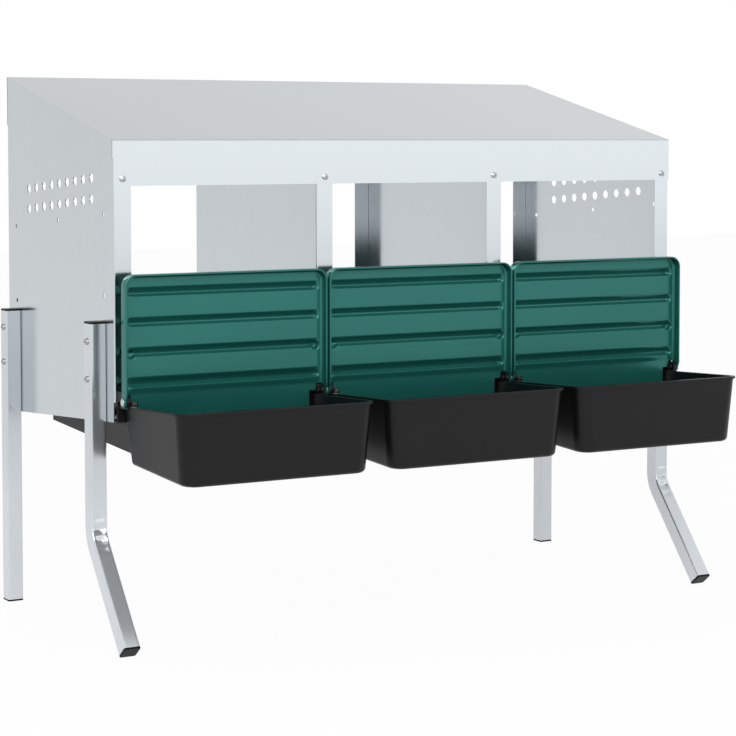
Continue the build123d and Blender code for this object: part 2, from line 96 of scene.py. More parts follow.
# Nodes, and the way that each row of screws points
PLACES = ("left", "middle", "right")
SIDES = ("left", "right")
SHEET_NODES = ("roof", "rear_tie_rail") + tuple(
    f"{side}_{kind}" for side in SIDES for kind in ("side_panel", "divider", "divider_runner"))
PLUG_NODES = tuple(
    f"{end}_{side}_{kind}" for end in ("front", "rear") for side in SIDES
    for kind in ("leg_cap", "foot_plug"))
SCREW_ROWS = {"fascia_screws": (0.0, -1.0, 0.0), "rear_skirt_screws": (0.0, 1.0, 0.0),
              "tie_rail_screws": (0.0, 1.0, 0.0)}

# Lengths, in metres
FLANGE_ZONE = 0.005
FRONT_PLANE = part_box("left_side_panel")[0].y
REAR_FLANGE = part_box("left_side_panel")[1].y - FLANGE_ZONE
FILM_TOP, FILM_FULL = 0.21, 0.14
SHEET = 0.001
RUNNER_WEB = 0.012
WELD_RISE, WELD_MARGIN = 0.008, 0.025
SAME_POINT = 2e-6
SWEEP_STEP = 0.0015
SCREW = {"Head radius": 0.004, "Head height": 0.0028, "Crown": 0.0011, "Shank radius": 0.00195,
         "Shank length": 0.009, "Recess": 0.0021, "Recess depth": 0.0012}
BOLT = {"Head radius": 0.00425, "Head height": 0.0033, "Crown": 0.0016, "Shank radius": 0.00245,
        "Shank length": 0.029, "Recess": 0.0015, "Recess depth": 0.0012}

# Steps of a lid's mesh, in metres: across its middle, down its tail, at its foot and over its ribs
WIDE_STEP, TAIL_STEP, FOOT_STEP, RIB_STEP = 0.006, 0.003, 0.002, 0.001
# Facets of a lid's roundings
EDGE_FACETS, CORNER_FACETS, LOBE_FACETS = 4, 14, 28
# Radii of the skirt's lip and heel, in walls
LIP, HEEL = 0.42, 0.6
# Where a pocket's wall starts and ends, in diameters from its middle
POCKET_FLOOR, POCKET_RIM = 0.25, 0.55

# Facets of heads, shanks and spot welds
HEAD_FACETS, SHANK_FACETS, WELD_FACETS = 28, 20, 24
# Sides of the recesses, and the cross's waist as a share of its reach
SOCKET_SIDES, CROSS_SIDES, CROSS_WAIST = 6, 4, 0.36
# How far a weld is dished and a dent is wrinkled, as shares of their depth
WELD_DISH, WRINKLE = 0.7, 0.4

# Gloss of the black mouldings
SATIN_GLOSS, DULL_GLOSS = 0.26, 0.1
WHITE, BLACK = (1.0, 1.0, 1.0), (0.0, 0.0, 0.0)

# Lamps: place and size in metres, the setting of their power, and whether metal mirrors them
LAMPS = (("front_light", (-1.2, -2.9, 2.2), 2.2, "key_power", True),
         ("left_light", (-3.0, 0.6, 1.6), 2.0, "fill_power", False))
# Sky that metal mirrors: its level, and how that changes to the front, the right and the top
SKY_LEVEL, SKY_FRONT, SKY_RIGHT, SKY_TOP = 1.03, 0.17, 0.13, 0.42
# Floor: half its side in metres, its own glow, and its tone in mirrors
FLOOR_REACH, FLOOR_GLOW, MIRRORED_FLOOR = 9.0, 0.955, 0.87
# Camera: sensor in millimetres, and the end of sight in metres
SENSOR, SIGHT = 36.0, 60.0


# Node building


def both_ways(operation):
    """Method for a sum of two values, and the same with its sides swapped."""
    return (lambda self, other: self.graph.maths(operation, self, other),
            lambda self, other: self.graph.maths(operation, other, self))


class Value:
    """A node's output socket that takes part in Python sums."""

    def __init__(self, graph, socket):
        self.graph = graph
        self.socket = socket

    __add__, __radd__ = both_ways("ADD")
    __sub__, __rsub__ = both_ways("SUBTRACT")
    __mul__, __rmul__ = both_ways("MULTIPLY")
    __truediv__, __rtruediv__ = both_ways("DIVIDE")
    __pow__, __rpow__ = both_ways("POWER")

    def __abs__(self):
        return self.graph.maths("ABSOLUTE", self)

    def highest(self, other):
        return self.graph.maths("MAXIMUM", self, other)

    def above(self, other):
        return self.graph.maths("GREATER_THAN", self, other)


class Graph:
    """A node tree that grows by a node with each call."""

    def __init__(self, tree):
        self.tree = tree

    def node(self, kind, settings=None, sockets=None, out=0):
        """Adds a node: its settings first, then the values or links of its sockets."""
        made = self.tree.nodes.new(kind)
        for key, value in (settings or {}).items():
            setattr(made, key, value)
        for key, value in (sockets or {}).items():
            for one in value if isinstance(value, list) else [value]:
                if isinstance(one, Value):
                    self.tree.links.new(one.socket, made.inputs[key])
                else:
                    made.inputs[key].default_value = one
        return Value(self, made.outputs[out]) if len(made.outputs) else None

    def maths(self, operation, first, second=0.0):
        return self.node("ShaderNodeMath", {"operation": operation}, {0: first, 1: second})

    def parts(self, vector):
        """The three parts of a vector."""
        split = self.node("ShaderNodeSeparateXYZ", None, {"Vector": vector}).socket.node
        return [Value(self, split.outputs[axis]) for axis in "XYZ"]


class Shade(Graph):
    """The nodes of a material or of the world."""

    def __init__(self, owner):
        owner.use_nodes = True
        super().__init__(owner.node_tree)
        self.tree.nodes.clear()

    def mix(self, factor, first, second):
        """Colour between two others."""
        sockets = {0: factor, 6: first, 7: second}
        return self.node("ShaderNodeMix", {"data_type": "RGBA"}, sockets, out=2)

    def varied(self, factor, colour, dark, light):
        """A colour that goes from a darker to a lighter tone of itself."""
        return self.mix(factor, rgba(colour, dark), rgba(colour, light))

    def place(self):
        """The surface point in the piece's own coordinates, in metres."""
        return self.node("ShaderNodeTexCoord", out="Object")

    def facing(self):
        """The three parts of the surface normal in the piece's own coordinates."""
        return self.parts(self.node("ShaderNodeTexCoord", out="Normal"))

    def noise(self, scale, detail=3.0, stretch=None):
        """Noise over the piece; a stretch scales each axis, for a pattern that runs along one."""
        place = self.place()
        if stretch:
            place = self.node("ShaderNodeMapping", None, {"Vector": place, "Scale": stretch})
        sockets = {"Vector": place, "Scale": scale, "Detail": detail}
        return self.node("ShaderNodeTexNoise", None, sockets, out="Fac")

    def bump(self, height, strength, distance):
        sockets = {"Strength": strength, "Distance": distance, "Height": height}
        return self.node("ShaderNodeBump", None, sockets, out="Normal")

    def rays(self):
        """Whether a ray comes from the camera, from metal or through glass, as 1 or 0 each."""
        path = self.node("ShaderNodeLightPath").socket.node
        kinds = ("Camera", "Glossy", "Transmission")
        return [Value(self, path.outputs[f"Is {kind} Ray"]) for kind in kinds]


# Finishes


def rgba(colour, gain=1.0):
    return (*(part * gain for part in colour), 1.0)


def around(middle, reach, tone):
    """A value that goes from a reach below its middle to a reach above, as the tone goes to 1."""
    return middle - reach + 2.0 * reach * tone


def bright_zinc(shade, look):
    """Zinc on sheet: faint crystals, a soft cloud over the whole sheet, a fine rolling grain."""
    cells = {"Vector": shade.place(), "Scale": 85.0}
    crystal = shade.node("ShaderNodeTexVoronoi", None, cells, out="Color")
    crystal = shade.node("ShaderNodeSeparateColor", None, {"Color": crystal}, out="Red")
    grain = shade.noise(scale=40.0, detail=2.0)
    tone = 0.45 * crystal + 0.55 * shade.noise(scale=5.0)
    plain_colour = shade.varied(tone, look.sheet_colour, dark=0.975, light=1.02)
    # Painted shade: the rear flanges' inner faces, where they look forward, get a darker base
    # colour
    forward = (0.0 - shade.facing()[1]).above(0.5)
    inner = forward * shade.parts(shade.place())[1].above(REAR_FLANGE)
    return {
        "Base Color": shade.mix(inner, plain_colour, rgba(look.sheet_colour, look.inner_shade)),
        "Metallic": look.sheet_metal,
        "Roughness": around(look.sheet_roughness, 0.03, tone),
        "Normal": shade.bump(grain, strength=0.02, distance=0.0005),
    }


def drawn_tube(shade, look):
    """Plated tube: drawing lines along its length and a soft cloud."""
    lines = shade.noise(scale=1.0, detail=2.0, stretch=(700.0, 700.0, 4.0))
    tone = 0.5 * lines + 0.5 * shade.noise(scale=14.0)
    plain_colour = shade.varied(tone, look.tube_colour, dark=0.88, light=1.06)
    # A dull film covers the legs below the bend
    height = shade.parts(shade.place())[2]
    film = shade.node("ShaderNodeMapRange", None,
                      {"Value": height, "From Min": FILM_TOP, "From Max": FILM_FULL})
    return {
        "Base Color": shade.mix(film, plain_colour, rgba(look.tube_colour, look.film_gain)),
        "Metallic": look.tube_metal - (look.tube_metal - look.film_metal) * film,
        "Roughness": around(look.tube_roughness, 0.04, tone),
        "Normal": shade.bump(lines, strength=0.05, distance=0.0002),
    }


def small_steel(shade, colour, scale, tones, roughness, reach, strength):
    """Small steel piece with a fine cloud."""
    cloud = shade.noise(scale)
    return {
        "Base Color": shade.varied(cloud, colour, *tones),
        "Metallic": 1.0,
        "Roughness": around(roughness, reach, cloud),
        "Normal": shade.bump(cloud, strength, distance=0.0001),
    }


def small_plating(shade, look):
    """Small plated steel, slightly darker and duller than the tube."""
    return small_steel(shade, look.fastener_colour, scale=220.0, tones=(0.8, 1.08), roughness=0.38,
                       reach=0.08, strength=0.05)


def bright_pin(shade, look):
    """Bright steel of the hinge pins."""
    return small_steel(shade, look.pin_colour, scale=260.0, tones=(0.9, 1.06), roughness=0.29,
                       reach=0.07, strength=0.04)


def black_moulding(shade, look, gloss):
    """Black moulding with a fine tool grain and a soft flow cloud."""
    grain = shade.noise(scale=1400.0, detail=2.0)
    flow = shade.noise(scale=9.0)
    return {
        "Base Color": shade.varied(flow, look.tray_colour, dark=0.8, light=1.25),
        "Roughness": around(look.tray_roughness, 0.04, flow),
        "Specular IOR Level": gloss,
        "Normal": shade.bump(grain, strength=0.12, distance=0.0002),
    }


def satin_black(shade, look):
    """Black of the troughs and the pin caps."""
    return black_moulding(shade, look, SATIN_GLOSS)


def dull_black(shade, look):
    """The same black without its sheen: on plugs, and on the trays' part under the box, where it
    stands in for shade.
    """
    return black_moulding(shade, look, DULL_GLOSS)


def gloss_green(shade, look):
    """Glossy green moulding, with pigment flow, a faint orange peel and painted shade."""
    flow = shade.noise(scale=1.0, detail=4.0, stretch=(6.0, 6.0, 14.0))
    peel = shade.noise(scale=260.0, detail=2.0)
    open_face = shade.varied(flow, look.lid_colour, dark=0.9, light=1.1)
    # Painted shade: the base colour darkens towards black where the face looks down or to the rear
    _, back, up = shade.facing()
    painted_shade = look.groove_shade * (0.0 - up).highest(0.0) + look.back_shade * back.highest(0.0)
    return {
        "Base Color": shade.mix(painted_shade, open_face, rgba(BLACK)),
        "Metallic": look.lid_depth,
        "Roughness": around(look.lid_roughness, 0.03, flow),
        "Normal": shade.bump(peel, strength=0.04, distance=0.0003),
    }


def finish(make):
    """The material of a finish, made when it is first asked for."""
    material = bpy.data.materials.get(make.__name__)
    if not material:
        material = bpy.data.materials.new(make.__name__)
        shade = Shade(material)
        sockets = make(shade, bpy.context.scene.nest_finish)
        surface = shade.node("ShaderNodeBsdfPrincipled", None, sockets)
        shade.node("ShaderNodeOutputMaterial", None, {"Surface": surface})
    return material


def paint_nodes(make, *nodes):
    """Gives CAD nodes a finish through their material slots."""
    material = finish(make)
    for node in (frame["nodes"][node] for node in nodes):
        if not node.material_slots:
            node.data.materials.append(material)
        for slot in node.material_slots:
            slot.material = material


# Mesh helpers


def new_piece(name, mesh, material, body):
    """Links a finished mesh as a piece that rides on a body."""
    piece = bpy.data.objects.new(name, mesh)
    bpy.context.scene.collection.objects.link(piece)
    mesh.materials.clear()
    mesh.materials.append(material)
    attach(piece, body)
    return piece


def evaluated_mesh(holder):
    """Plain mesh of an object with its modifiers, which then goes."""
    bpy.context.view_layer.update()
    graph = bpy.context.evaluated_depsgraph_get()
    mesh = bpy.data.meshes.new_from_object(holder.evaluated_get(graph), depsgraph=graph)
    bpy.data.batch_remove((holder, holder.data))
    return mesh


def smooth(mesh, angle):
    """Smooth shading up to an angle, in degrees."""
    mesh.polygons.foreach_set("use_smooth", [True] * len(mesh.polygons))
    mesh.set_sharp_from_angle(angle=math.radians(angle))


def merged_node(node):
    """A CAD node's mesh for editing, with its loose triangles joined."""
    work = bmesh.new()
    work.from_mesh(frame["nodes"][node].data)
    bmesh.ops.remove_doubles(work, verts=work.verts, dist=SAME_POINT)
    return work


def mesh_from(work, name):
    """Plain mesh of an edited one, which then goes."""
    mesh = bpy.data.meshes.new(name)
    work.to_mesh(mesh)
    work.free()
    return mesh


def soft_copy(node, width, steps):
    """Copy of a CAD node's mesh with its sharp edges rounded."""
    mesh = mesh_from(merged_node(node), node + "_soft")
    holder = bpy.data.objects.new(node + "_holder", mesh)
    bpy.context.scene.collection.objects.link(holder)
    bevel = holder.modifiers.new("edges", "BEVEL")
    bevel.width = width
    bevel.segments = steps
    bevel.limit_method = "ANGLE"
    bevel.angle_limit = math.radians(30.0)
    bevel.miter_outer = "MITER_ARC"
    weighted = holder.modifiers.new("normals", "WEIGHTED_NORMAL")
    weighted.keep_sharp = True
    weighted.weight = 80
    result = evaluated_mesh(holder)
    smooth(result, angle=40.0)
    return result


def ramp(value, start, end):
    """Smooth step from 0 at start to 1 at end."""
    share = min(max((value - start) / (end - start), 0.0), 1.0)
    return share * share * (3.0 - 2.0 * share)


def spaced(start, end, step):
    """Even places from start up to, but without, end, at most a step apart."""
    count = max(1, math.ceil((end - start) / step))
    return [start + (end - start) * i / count for i in range(count)]


def arc(centre, radius, first, last, count):
    """Points on an arc in a plane, angles in degrees."""
    turns = [math.radians(first + (last - first) * i / count) for i in range(count + 1)]
    x, y = centre
    return [(x + radius * math.cos(turn), y + radius * math.sin(turn)) for turn in turns]


class LidShape:
    """An upright lid's plate, skirt and hinge lobes as one mesh, from its CAD box and hinge."""

    def __init__(self, node, hinge, size):
        self.low, self.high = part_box(node)
        self.size = size
        self.hinge = hinge
        self.middle = (self.low.x + self.high.x) / 2
        self.half = (self.high.x - self.low.x) / 2
        self.top = self.high.z
        self.front = self.low.y
        self.back = self.front + size.lid_skirt
        self.foot = hinge.z + size.lid_foot_rise
        self.mesh = bmesh.new()

    def relief(self, x, z):
        """How far the face lies behind its plane: grooves with a ridge below, and end pockets."""
        size = self.size
        end = self.half - size.lid_wall - size.rib_margin
        share = 1.0 - ramp(abs(x), end - size.rib_taper, end)
        depth = 0.0
        for index in range(size.rib_count):
            rise = z - (self.top - size.rib_first - index * size.rib_pitch)
            climb = ramp(rise, size.rib_deep, -size.rib_crest)
            groove = ramp(rise, size.rib_upper, size.rib_deep) * (1.0 - climb)
            ridge = climb * (1.0 - ramp(rise, -size.rib_crest, -size.rib_end))
            depth += share * (size.rib_depth * groove - size.ridge_height * ridge)
            if index == size.rib_count // 2:
                away = math.hypot(abs(x) - (end - size.pocket / 2), rise)
                well = 1.0 - ramp(away, size.pocket * POCKET_FLOOR, size.pocket * POCKET_RIM)
                depth = max(depth, well * (size.rib_depth + size.ridge_height))
        return depth

    def root(self, x, z):
        """How far the face curves forward into the skirt."""
        corner = self.size.lid_corner
        beside = abs(x) - (self.half - corner)
        above = z - (self.top - corner)
        in_corner = beside > 0 and above > 0
        out = math.hypot(beside, above) if in_corner else max(beside, above)
        gap = max(corner - out - self.size.lid_wall, 0.0)
        radius = self.size.lid_root
        return radius - math.sqrt(radius ** 2 - (radius - gap) ** 2) if gap < radius else 0.0

    def plate(self):
        """Ribbed plate with its foot between the tray's ears and its tail in the trough's mouth."""
        size = self.size
        wall = size.lid_wall
        edge = self.half - wall / 2
        foot_half = self.half - size.foot_inset
        tail_half = self.half - size.tail_inset
        inner_corner = size.lid_corner - wall / 2
        right = spaced(0.0, tail_half, WIDE_STEP) + spaced(tail_half, foot_half, FOOT_STEP)
        right += spaced(foot_half, edge, RIB_STEP) + [edge]
        columns = [-x for x in reversed(right[1:])] + right
        rows = spaced(self.low.z, self.hinge.z, TAIL_STEP)
        rows += spaced(self.hinge.z, self.foot, FOOT_STEP)
        rows += spaced(self.foot, self.top - wall / 2, RIB_STEP) + [self.top - wall / 2]
        verts = {}

        def vert(i, j, behind):
            if (i, j, behind) not in verts:
                x, z = columns[i], rows[j]
                above = z - (self.top - size.lid_corner)
                if above > 0:
                    bend = math.sqrt(inner_corner ** 2 - min(above, inner_corner) ** 2)
                    x *= (self.half - size.lid_corner + bend) / edge
                y = self.back - wall + self.relief(x, z) - self.root(x, z)
                if behind:
                    y = self.back if y < self.back - wall else y + wall
                verts[i, j, behind] = self.mesh.verts.new((self.middle + x, y, z))
            return verts[i, j, behind]

        kept = set()
        for j, z in enumerate(rows[:-1]):
            limit = tail_half if z < self.hinge.z else foot_half if z < self.foot else edge
            kept |= {(i, j) for i, (x, other) in enumerate(zip(columns, columns[1:]))
                     if abs(x + other) / 2 < limit}
        for i, j in sorted(kept):
            ring = ((i, j), (i + 1, j), (i + 1, j + 1), (i, j + 1))
            self.mesh.faces.new([vert(*corner, False) for corner in ring])
            self.mesh.faces.new([vert(*corner, True) for corner in reversed(ring)])
            beyond = ((i, j - 1), (i + 1, j), (i, j + 1), (i - 1, j))
            for first, second, other in zip(ring, ring[1:] + ring[:1], beyond):
                if other not in kept:
                    self.mesh.faces.new((vert(*second, False), vert(*first, False),
                                         vert(*first, True), vert(*second, True)))

    def band(self, one, two):
        """Faces between two closed loops of points."""
        for j in range(len(one)):
            self.mesh.faces.new((one[j - 1], one[j], two[j], two[j - 1]))

    def skirt(self):
        """Skirt up the left side, over the top and down the right side."""
        depth, wall, corner = self.size.lid_skirt, self.size.lid_wall, self.size.lid_corner
        lip, heel = wall * LIP, wall * HEEL
        ring = [(wall, 0.0)] + arc((heel, heel), heel, 270, 180, EDGE_FACETS)
        ring += arc((lip, depth - lip), lip, 180, 90, EDGE_FACETS)
        ring += arc((wall - lip, depth - lip), lip, 90, 0, EDGE_FACETS)
        path = [(-self.half, self.foot, -1.0, 0.0)]
        for side, first in ((-1, 180), (1, 90)):
            x, z = side * (self.half - corner), self.top - corner
            for across, up in arc((0.0, 0.0), 1.0, first, first - 90, CORNER_FACETS):
                path.append((x + corner * across, z + corner * up, across, up))
        path.append((self.half, self.foot, 1.0, 0.0))
        rings = []
        for x, z, across, up in path:
            places = [(self.middle + x - across * inward, self.back - ahead, z - up * inward)
                      for inward, ahead in ring]
            rings.append([self.mesh.verts.new(place) for place in places])
        for one, two in zip(rings, rings[1:]):
            self.band(one, two)
        self.mesh.faces.new(list(reversed(rings[0])))
        self.mesh.faces.new(rings[-1])

    def lobes(self):
        """Skirt's lower ends, round the hinge pins."""
        size = self.size
        y, z = self.hinge.y, self.hinge.z
        radius = size.hinge_lobe / 2
        behind = math.degrees(math.acos((self.back - y) / radius))
        rim = [(self.back, self.foot), (self.front, self.foot)]
        rim += arc((y, z), radius, 180, 360 + behind, LOBE_FACETS)
        bore = []
        for point in rim:
            way = Vector((point[0] - y, point[1] - z)).normalized() * size.pin_bore / 2
            bore.append((y + way.x, z + way.y))
        inner = self.half - size.lid_wall
        outlines = ((self.half, rim), (self.half, bore), (inner, bore), (inner, rim))
        for side in (-1, 1):
            loops = [[self.mesh.verts.new((self.middle + side * x, *point)) for point in outline]
                     for x, outline in outlines]
            for one, two in zip(loops, loops[1:] + loops[:1]):
                self.band(*((two, one) if side < 0 else (one, two)))

    def build(self, name):
        self.plate()
        self.skirt()
        self.lobes()
        mesh = mesh_from(self.mesh, name)
        smooth(mesh, angle=38.0)
        return mesh


# Geometry Nodes building

SOCKET_KINDS = {float: "NodeSocketFloat", int: "NodeSocketInt", tuple: "NodeSocketVector",
                type(None): "NodeSocketMaterial"}


class Tree(Graph):
    """Geometry node group with named inputs, which ends in Realize Instances and Set Material."""

    def __init__(self, name, inputs):
        super().__init__(bpy.data.node_groups.new(name, "GeometryNodeTree"))
        face = self.tree.interface
        for way in ("INPUT", "OUTPUT"):
            face.new_socket("Geometry", in_out=way, socket_type="NodeSocketGeometry")
        self.ids = {}
        for label, value in {**inputs, "Material": None}.items():
            kind = SOCKET_KINDS[type(value)]
            socket = face.new_socket(label, in_out="INPUT", socket_type=kind)
            if value is not None:
                socket.default_value = value
            self.ids[label] = socket.identifier
        self.source = self.tree.nodes.new("NodeGroupInput")

    def given(self, label):
        """The tree's input of that name."""
        return Value(self, self.source.outputs[label])

    def here(self):
        """Each point's position."""
        return self.node("GeometryNodeInputPosition")

    def vector(self, operation, first, second=(0.0, 0.0, 0.0), out="Vector"):
        sockets = {0: first, 1: second}
        return self.node("ShaderNodeVectorMath", {"operation": operation}, sockets, out)

    def upright(self, height):
        """Vector that points up by a height."""
        return self.node("ShaderNodeCombineXYZ", None, {"Z": height})

    def off_axis(self):
        """Each point's distance from the upright axis."""
        flat = self.vector("MULTIPLY", self.here(), (1.0, 1.0, 0.0))
        return self.vector("LENGTH", flat, out="Value")

    def fade(self, value, start, end, first=0.0, last=1.0):
        """Smooth step from a first value at start to a last one at end."""
        sockets = {"Value": value, "From Min": start, "From Max": end, "To Min": first,
                   "To Max": last}
        return self.node("ShaderNodeMapRange", {"interpolation_type": "SMOOTHSTEP"}, sockets)

    def cylinder(self, radius, depth, facets, sides=1, rings=1):
        sockets = {"Vertices": facets, "Side Segments": sides, "Fill Segments": rings,
                   "Radius": radius, "Depth": depth}
        fill = "TRIANGLE_FAN" if rings > 1 else "NGON"
        return self.node("GeometryNodeMeshCylinder", {"fill_type": fill}, sockets)

    def rounded(self, curve, radius, count):
        """Curve with its corners rounded."""
        sockets = {"Curve": curve, "Count": count, "Radius": radius}
        return self.node("GeometryNodeFilletCurve", {"mode": "POLY"}, sockets)

    def swept(self, path, outline):
        sockets = {"Curve": path, "Profile Curve": outline, "Fill Caps": True}
        return self.node("GeometryNodeCurveToMesh", None, sockets)

    def formed(self, geometry, offset):
        """Geometry with each point moved by its own offset."""
        sockets = {"Geometry": geometry, "Offset": offset}
        return self.node("GeometryNodeSetPosition", None, sockets)

    def moved(self, geometry, **sockets):
        """Geometry moved or turned as a whole."""
        return self.node("GeometryNodeTransform", None, {"Geometry": geometry, **sockets})

    def spread(self, points, instance):
        """A copy on each point, turned to the tree's axis."""
        sockets = {"Vector": self.given("Axis")}
        turn = self.node("FunctionNodeAlignRotationToVector", {"axis": "Z"}, sockets)
        sockets = {"Points": points, "Instance": instance, "Rotation": turn}
        return self.node("GeometryNodeInstanceOnPoints", None, sockets)

    def end(self, geometry):
        whole = self.node("GeometryNodeRealizeInstances", None, {"Geometry": geometry})
        sockets = {"Geometry": whole, "Material": self.given("Material")}
        self.node("NodeGroupOutput", None, {0: self.node("GeometryNodeSetMaterial", None, sockets)})
        return self

    def run(self, holder, **values):
        """Mesh that the tree makes from the holder's geometry, with these inputs."""
        bpy.context.scene.collection.objects.link(holder)
        modifier = holder.modifiers.new("shape", "NODES")
        modifier.node_group = self.tree
        for label, value in values.items():
            modifier[self.ids[label]] = value
        return evaluated_mesh(holder)


def point_holder(name, points):
    """Object whose mesh is loose points."""
    mesh = bpy.data.meshes.new(name)
    mesh.from_pydata([tuple(point) for point in points], [], [])
    return bpy.data.objects.new(name, mesh)


def line_holder(name, places):
    """Object whose curve runs straight from place to place."""
    curve = bpy.data.curves.new(name, "CURVE")
    curve.dimensions = "3D"
    line = curve.splines.new("POLY")
    line.points.add(len(places) - 1)
    for point, place in zip(line.points, places):
        point.co = (*place, 1.0)
    return bpy.data.objects.new(name, curve)


def head_tree(name, recess_sides):
    """Domed heads with shanks on points; the recess is a socket or a cross."""
    tree = Tree(name, {**SCREW, "Axis": (0.0, -1.0, 0.0)})
    radius, height, crown, stem, reach, recess, depth = map(tree.given, SCREW)
    up = tree.parts(tree.here())[2] / height + 0.5
    sag = (tree.off_axis() / radius) ** 2.0 * up * crown
    disc = tree.cylinder(radius, height, HEAD_FACETS, sides=4, rings=6)
    head = tree.formed(disc, tree.upright(height * 0.5 - sag))
    line = tree.node("GeometryNodeCurvePrimitiveLine", None,
                     {"Start": tree.upright(height - depth), "End": tree.upright(height + depth)})
    if recess_sides == SOCKET_SIDES:
        outline = tree.node("GeometryNodeCurvePrimitiveCircle", None,
                            {"Resolution": recess_sides, "Radius": recess})
    else:
        outline = tree.node("GeometryNodeCurveStar", None,
                            {"Points": recess_sides, "Inner Radius": recess * CROSS_WAIST,
                             "Outer Radius": recess})
    well = tree.moved(tree.swept(line, outline), Rotation=(0.0, 0.0, math.pi / 4))
    cut = tree.node("GeometryNodeMeshBoolean", {"operation": "DIFFERENCE"},
                    {"Mesh 1": head, "Mesh 2": well})
    shank = tree.moved(tree.cylinder(stem, reach, SHANK_FACETS),
                       Translation=tree.upright(reach * -0.5))
    whole = tree.node("GeometryNodeJoinGeometry", None, {"Geometry": [cut, shank]})
    return tree.end(tree.spread(tree.given("Geometry"), whole))


def bent_leg_tree():
    """Square tube swept along a bent line, crushed a little on the inside of the bend."""
    tree = Tree("bent_leg", {
        "Tube": 0.02, "Corner": 0.0025, "Bend radius": 0.045, "Knee": (0.0, 0.0, 0.0),
        "Inside": (0.0, -1.0, 0.0), "Along": (0.0, 0.0, -1.0), "Dent": 0.002, "Dent reach": 0.014,
        "Wrinkles": 3.0})
    tube, inside, reach = map(tree.given, ("Tube", "Inside", "Dent reach"))
    path = tree.rounded(tree.given("Geometry"), tree.given("Bend radius"), count=24)
    path = tree.node("GeometryNodeResampleCurve", {"mode": "LENGTH"},
                     {"Curve": path, "Length": SWEEP_STEP})
    path = tree.node("GeometryNodeSetCurveNormal", {"mode": "FREE"},
                     {"Curve": path, "Normal": (1.0, 0.0, 0.0)})
    square = tree.node("GeometryNodeCurvePrimitiveQuadrilateral", {"mode": "RECTANGLE"},
                       {"Width": tube, "Height": tube})
    square = tree.rounded(square, tree.given("Corner"), count=5)
    square = tree.node("GeometryNodeSubdivideCurve", None, {"Curve": square, "Cuts": 5})
    # The dent lies on the inside, runs out towards its ends and the tube's corners, and is wrinkled
    away = tree.vector("SUBTRACT", tree.here(), tree.given("Knee"))
    inward, along = (tree.vector("DOT_PRODUCT", away, way, out="Value")
                     for way in (inside, tree.given("Along")))
    half = tube * 0.5
    near = tree.fade(inward / half, start=0.2, end=0.85)
    ends = tree.fade(abs(along) / reach, start=0.6, end=1.0, first=1.0, last=0.0)
    across = abs(tree.parts(away)[0])
    middle = tree.fade(across / half, start=0.25, end=0.8, first=1.0, last=0.0)
    wave = tree.maths("COSINE", along / reach * math.pi * tree.given("Wrinkles"))
    weight = near * ((1.0 - WRINKLE) - wave * WRINKLE) * (ends * middle)
    push = tree.node("ShaderNodeVectorMath", {"operation": "SCALE"},
                     {0: inside, "Scale": weight * (tree.given("Dent") * -1.0)})
    return tree.end(tree.formed(tree.swept(path, square), push))


def weld_tree():
    """Row of shallow round spot welds from a first point along a step."""
    tree = Tree("spot_welds", {"Count": 6, "Step": (0.0, 0.06, 0.0), "Radius": 0.003,
                               "Rise": 0.0003, "Axis": (1.0, 0.0, 0.0)})
    radius = tree.given("Radius")
    row = tree.node("GeometryNodeMeshLine", {"mode": "OFFSET"},
                    {"Count": tree.given("Count"), "Offset": tree.given("Step")})
    spot = tree.cylinder(radius, tree.given("Rise") * 2.0, WELD_FACETS, rings=4)
    ring = tree.maths("SINE", tree.off_axis() / radius * math.pi)
    squeeze = (ring - 1.0) * (tree.parts(tree.here())[2] * WELD_DISH)
    spot = tree.formed(spot, tree.upright(squeeze))
    start = tree.node("GeometryNodeSampleIndex", {"data_type": "FLOAT_VECTOR"},
                      {"Geometry": tree.given("Geometry"), "Value": tree.here(), "Index": 0})
    return tree.end(tree.moved(tree.spread(row, spot), Translation=start))


# Settings


def setting(kind=FloatProperty, **fixed):
    """Maker of settings of one kind, each from its name, description and default."""
    def make(name, description, default, **more):
        options = {**fixed, **more}
        return kind(name=name, description=description, default=default, **options)
    return make


metres = setting(unit="LENGTH", min=0.0)
rotation = setting(unit="ROTATION")
watts = setting(unit="POWER")
plain = setting()
amount = setting(min=0.0)
portion = setting(subtype="FACTOR", min=0.0, max=1.0)
number = setting(IntProperty, min=1)
tint = setting(FloatVectorProperty, subtype="COLOR", size=3, min=0.0, max=1.0)
position = setting(FloatVectorProperty, subtype="XYZ", size=3, unit="LENGTH")


